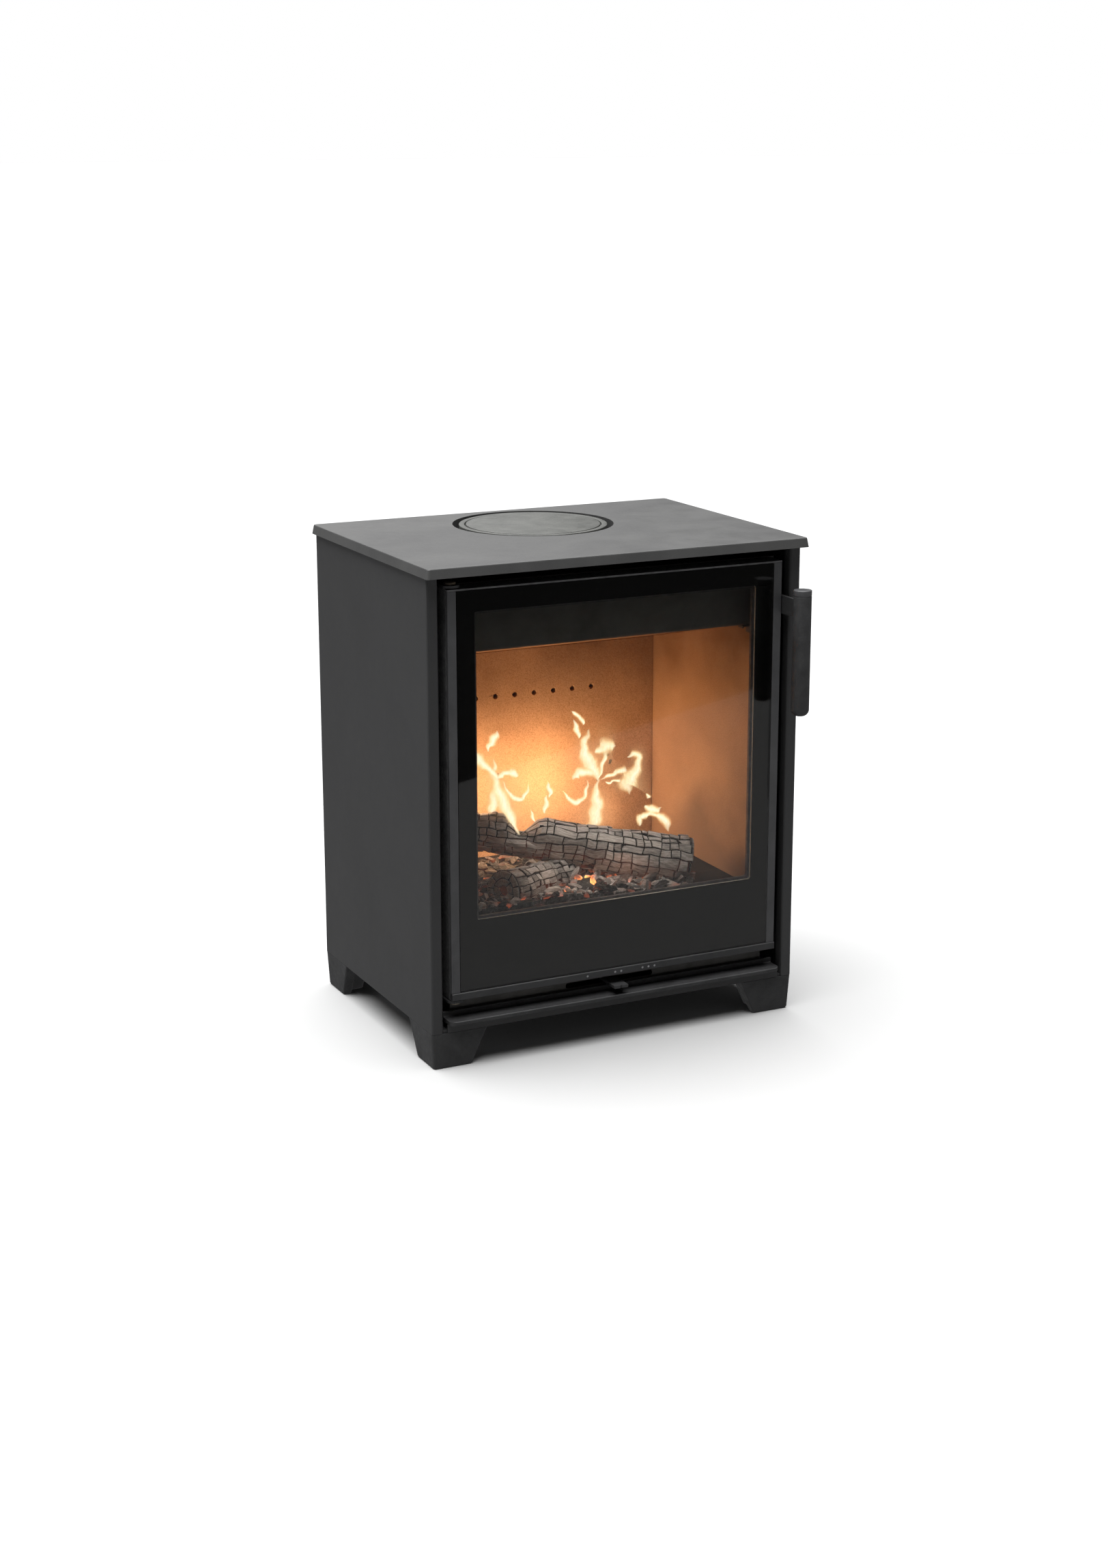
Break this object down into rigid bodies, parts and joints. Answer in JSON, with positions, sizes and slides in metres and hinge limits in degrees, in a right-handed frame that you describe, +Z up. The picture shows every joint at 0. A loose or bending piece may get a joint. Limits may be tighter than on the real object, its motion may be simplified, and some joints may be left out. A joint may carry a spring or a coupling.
{
  "type": "freestanding wood stove",
  "caption": "Compact steel wood-burning stove with a cast top and feet, a full-glass hinged door, a lever latch, a sliding air control and a brick-lined firebox.",
  "frame": {"origin": "centre of the overall footprint, on the floor under the feet", "axes": "+Z up; +Y towards the back, so the glass door faces -Y; +X to the right as seen from the front, on the door handle's side"},
  "size_m": [0.4984, 0.4026, 0.6],
  "materials": {
    "cast_top": "matte",
    "cast_dark": "matte",
    "cast_lid": "matte",
    "painted_steel": "matte",
    "bare_steel": "satin",
    "trim_steel": "satin",
    "door_glass": "gloss",
    "fire_brick": "matte",
    "seal": "matte",
    "charred_wood": "matte"
  },
  "bodies": {
    "stove": {"top_plate": "cast_top", "side_panel_left": "painted_steel", "side_panel_right": "painted_steel", "back_panel": "painted_steel", "base_plate": "painted_steel", "foot_front_left": "cast_dark", "foot_front_right": "cast_dark", "foot_rear_right": "cast_dark", "foot_rear_left": "cast_dark", "ash_lip": "cast_dark", "air_box": "painted_steel", "rear_air_channel": "painted_steel", "firebox_side_left": "painted_steel", "firebox_side_right": "painted_steel", "firebox_roof": "painted_steel", "firebox_back": "painted_steel", "firebox_floor": "painted_steel", "firebox_front_frame": "painted_steel", "hearth_plate": "bare_steel", "brick_left": "fire_brick", "brick_right": "fire_brick", "brick_back": "fire_brick", "hearth_brick_front": "fire_brick", "hearth_brick_rear": "fire_brick", "hearth_brick_left": "fire_brick", "hearth_brick_right": "fire_brick", "grate": "cast_dark", "baffle_plate": "fire_brick", "air_wash_deflector": "painted_steel", "ash_pan": "bare_steel", "rear_outlet_cover": "cast_dark", "flue_collar": "cast_dark", "log_rear": "charred_wood", "log_front": "charred_wood", "log_prop": "charred_wood", "ember_bed": "charred_wood", "hinge_bracket_upper": "painted_steel", "hinge_bracket_lower": "painted_steel", "hinge_pin_upper": "bare_steel", "hinge_pin_lower": "bare_steel", "latch_keeper": "bare_steel"},
    "door": {"door_frame": "cast_dark", "door_strip_left": "trim_steel", "door_strip_right": "trim_steel", "door_bottom_bar": "trim_steel", "door_glass": "door_glass", "glass_tape": "seal", "door_rope_seal": "seal", "handle_pivot_pin": "bare_steel"},
    "handle": {"handle_lever": "painted_steel", "handle_grip": "cast_dark", "handle_cap": "trim_steel"},
    "air_control": {"air_slide_plate": "bare_steel", "air_lever": "painted_steel"},
    "lid": {"lid_ring": "cast_lid", "lid_disc": "cast_lid"}
  },
  "joints": [
    {"name": "door_hinge", "type": "hinge", "parent": "stove", "child": "door", "pos_m": [-0.211, -0.1353, 0.3], "axis": [0, 0, -1], "range_deg": [0, 105]},
    {"name": "handle_pivot", "type": "hinge", "parent": "door", "child": "handle", "pos_m": [0.2223, -0.1373, 0.519], "axis": [-1, 0, 0], "range_deg": [0, 25]},
    {"name": "air_slide", "type": "slide", "parent": "stove", "child": "air_control", "axis": [1, 0, 0], "range_m": [-0.0415, 0.0415]},
    {"name": "lid_lift", "type": "slide", "parent": "stove", "child": "lid", "axis": [0, 0, 1], "range_m": [0, 0.12]}
  ]
}
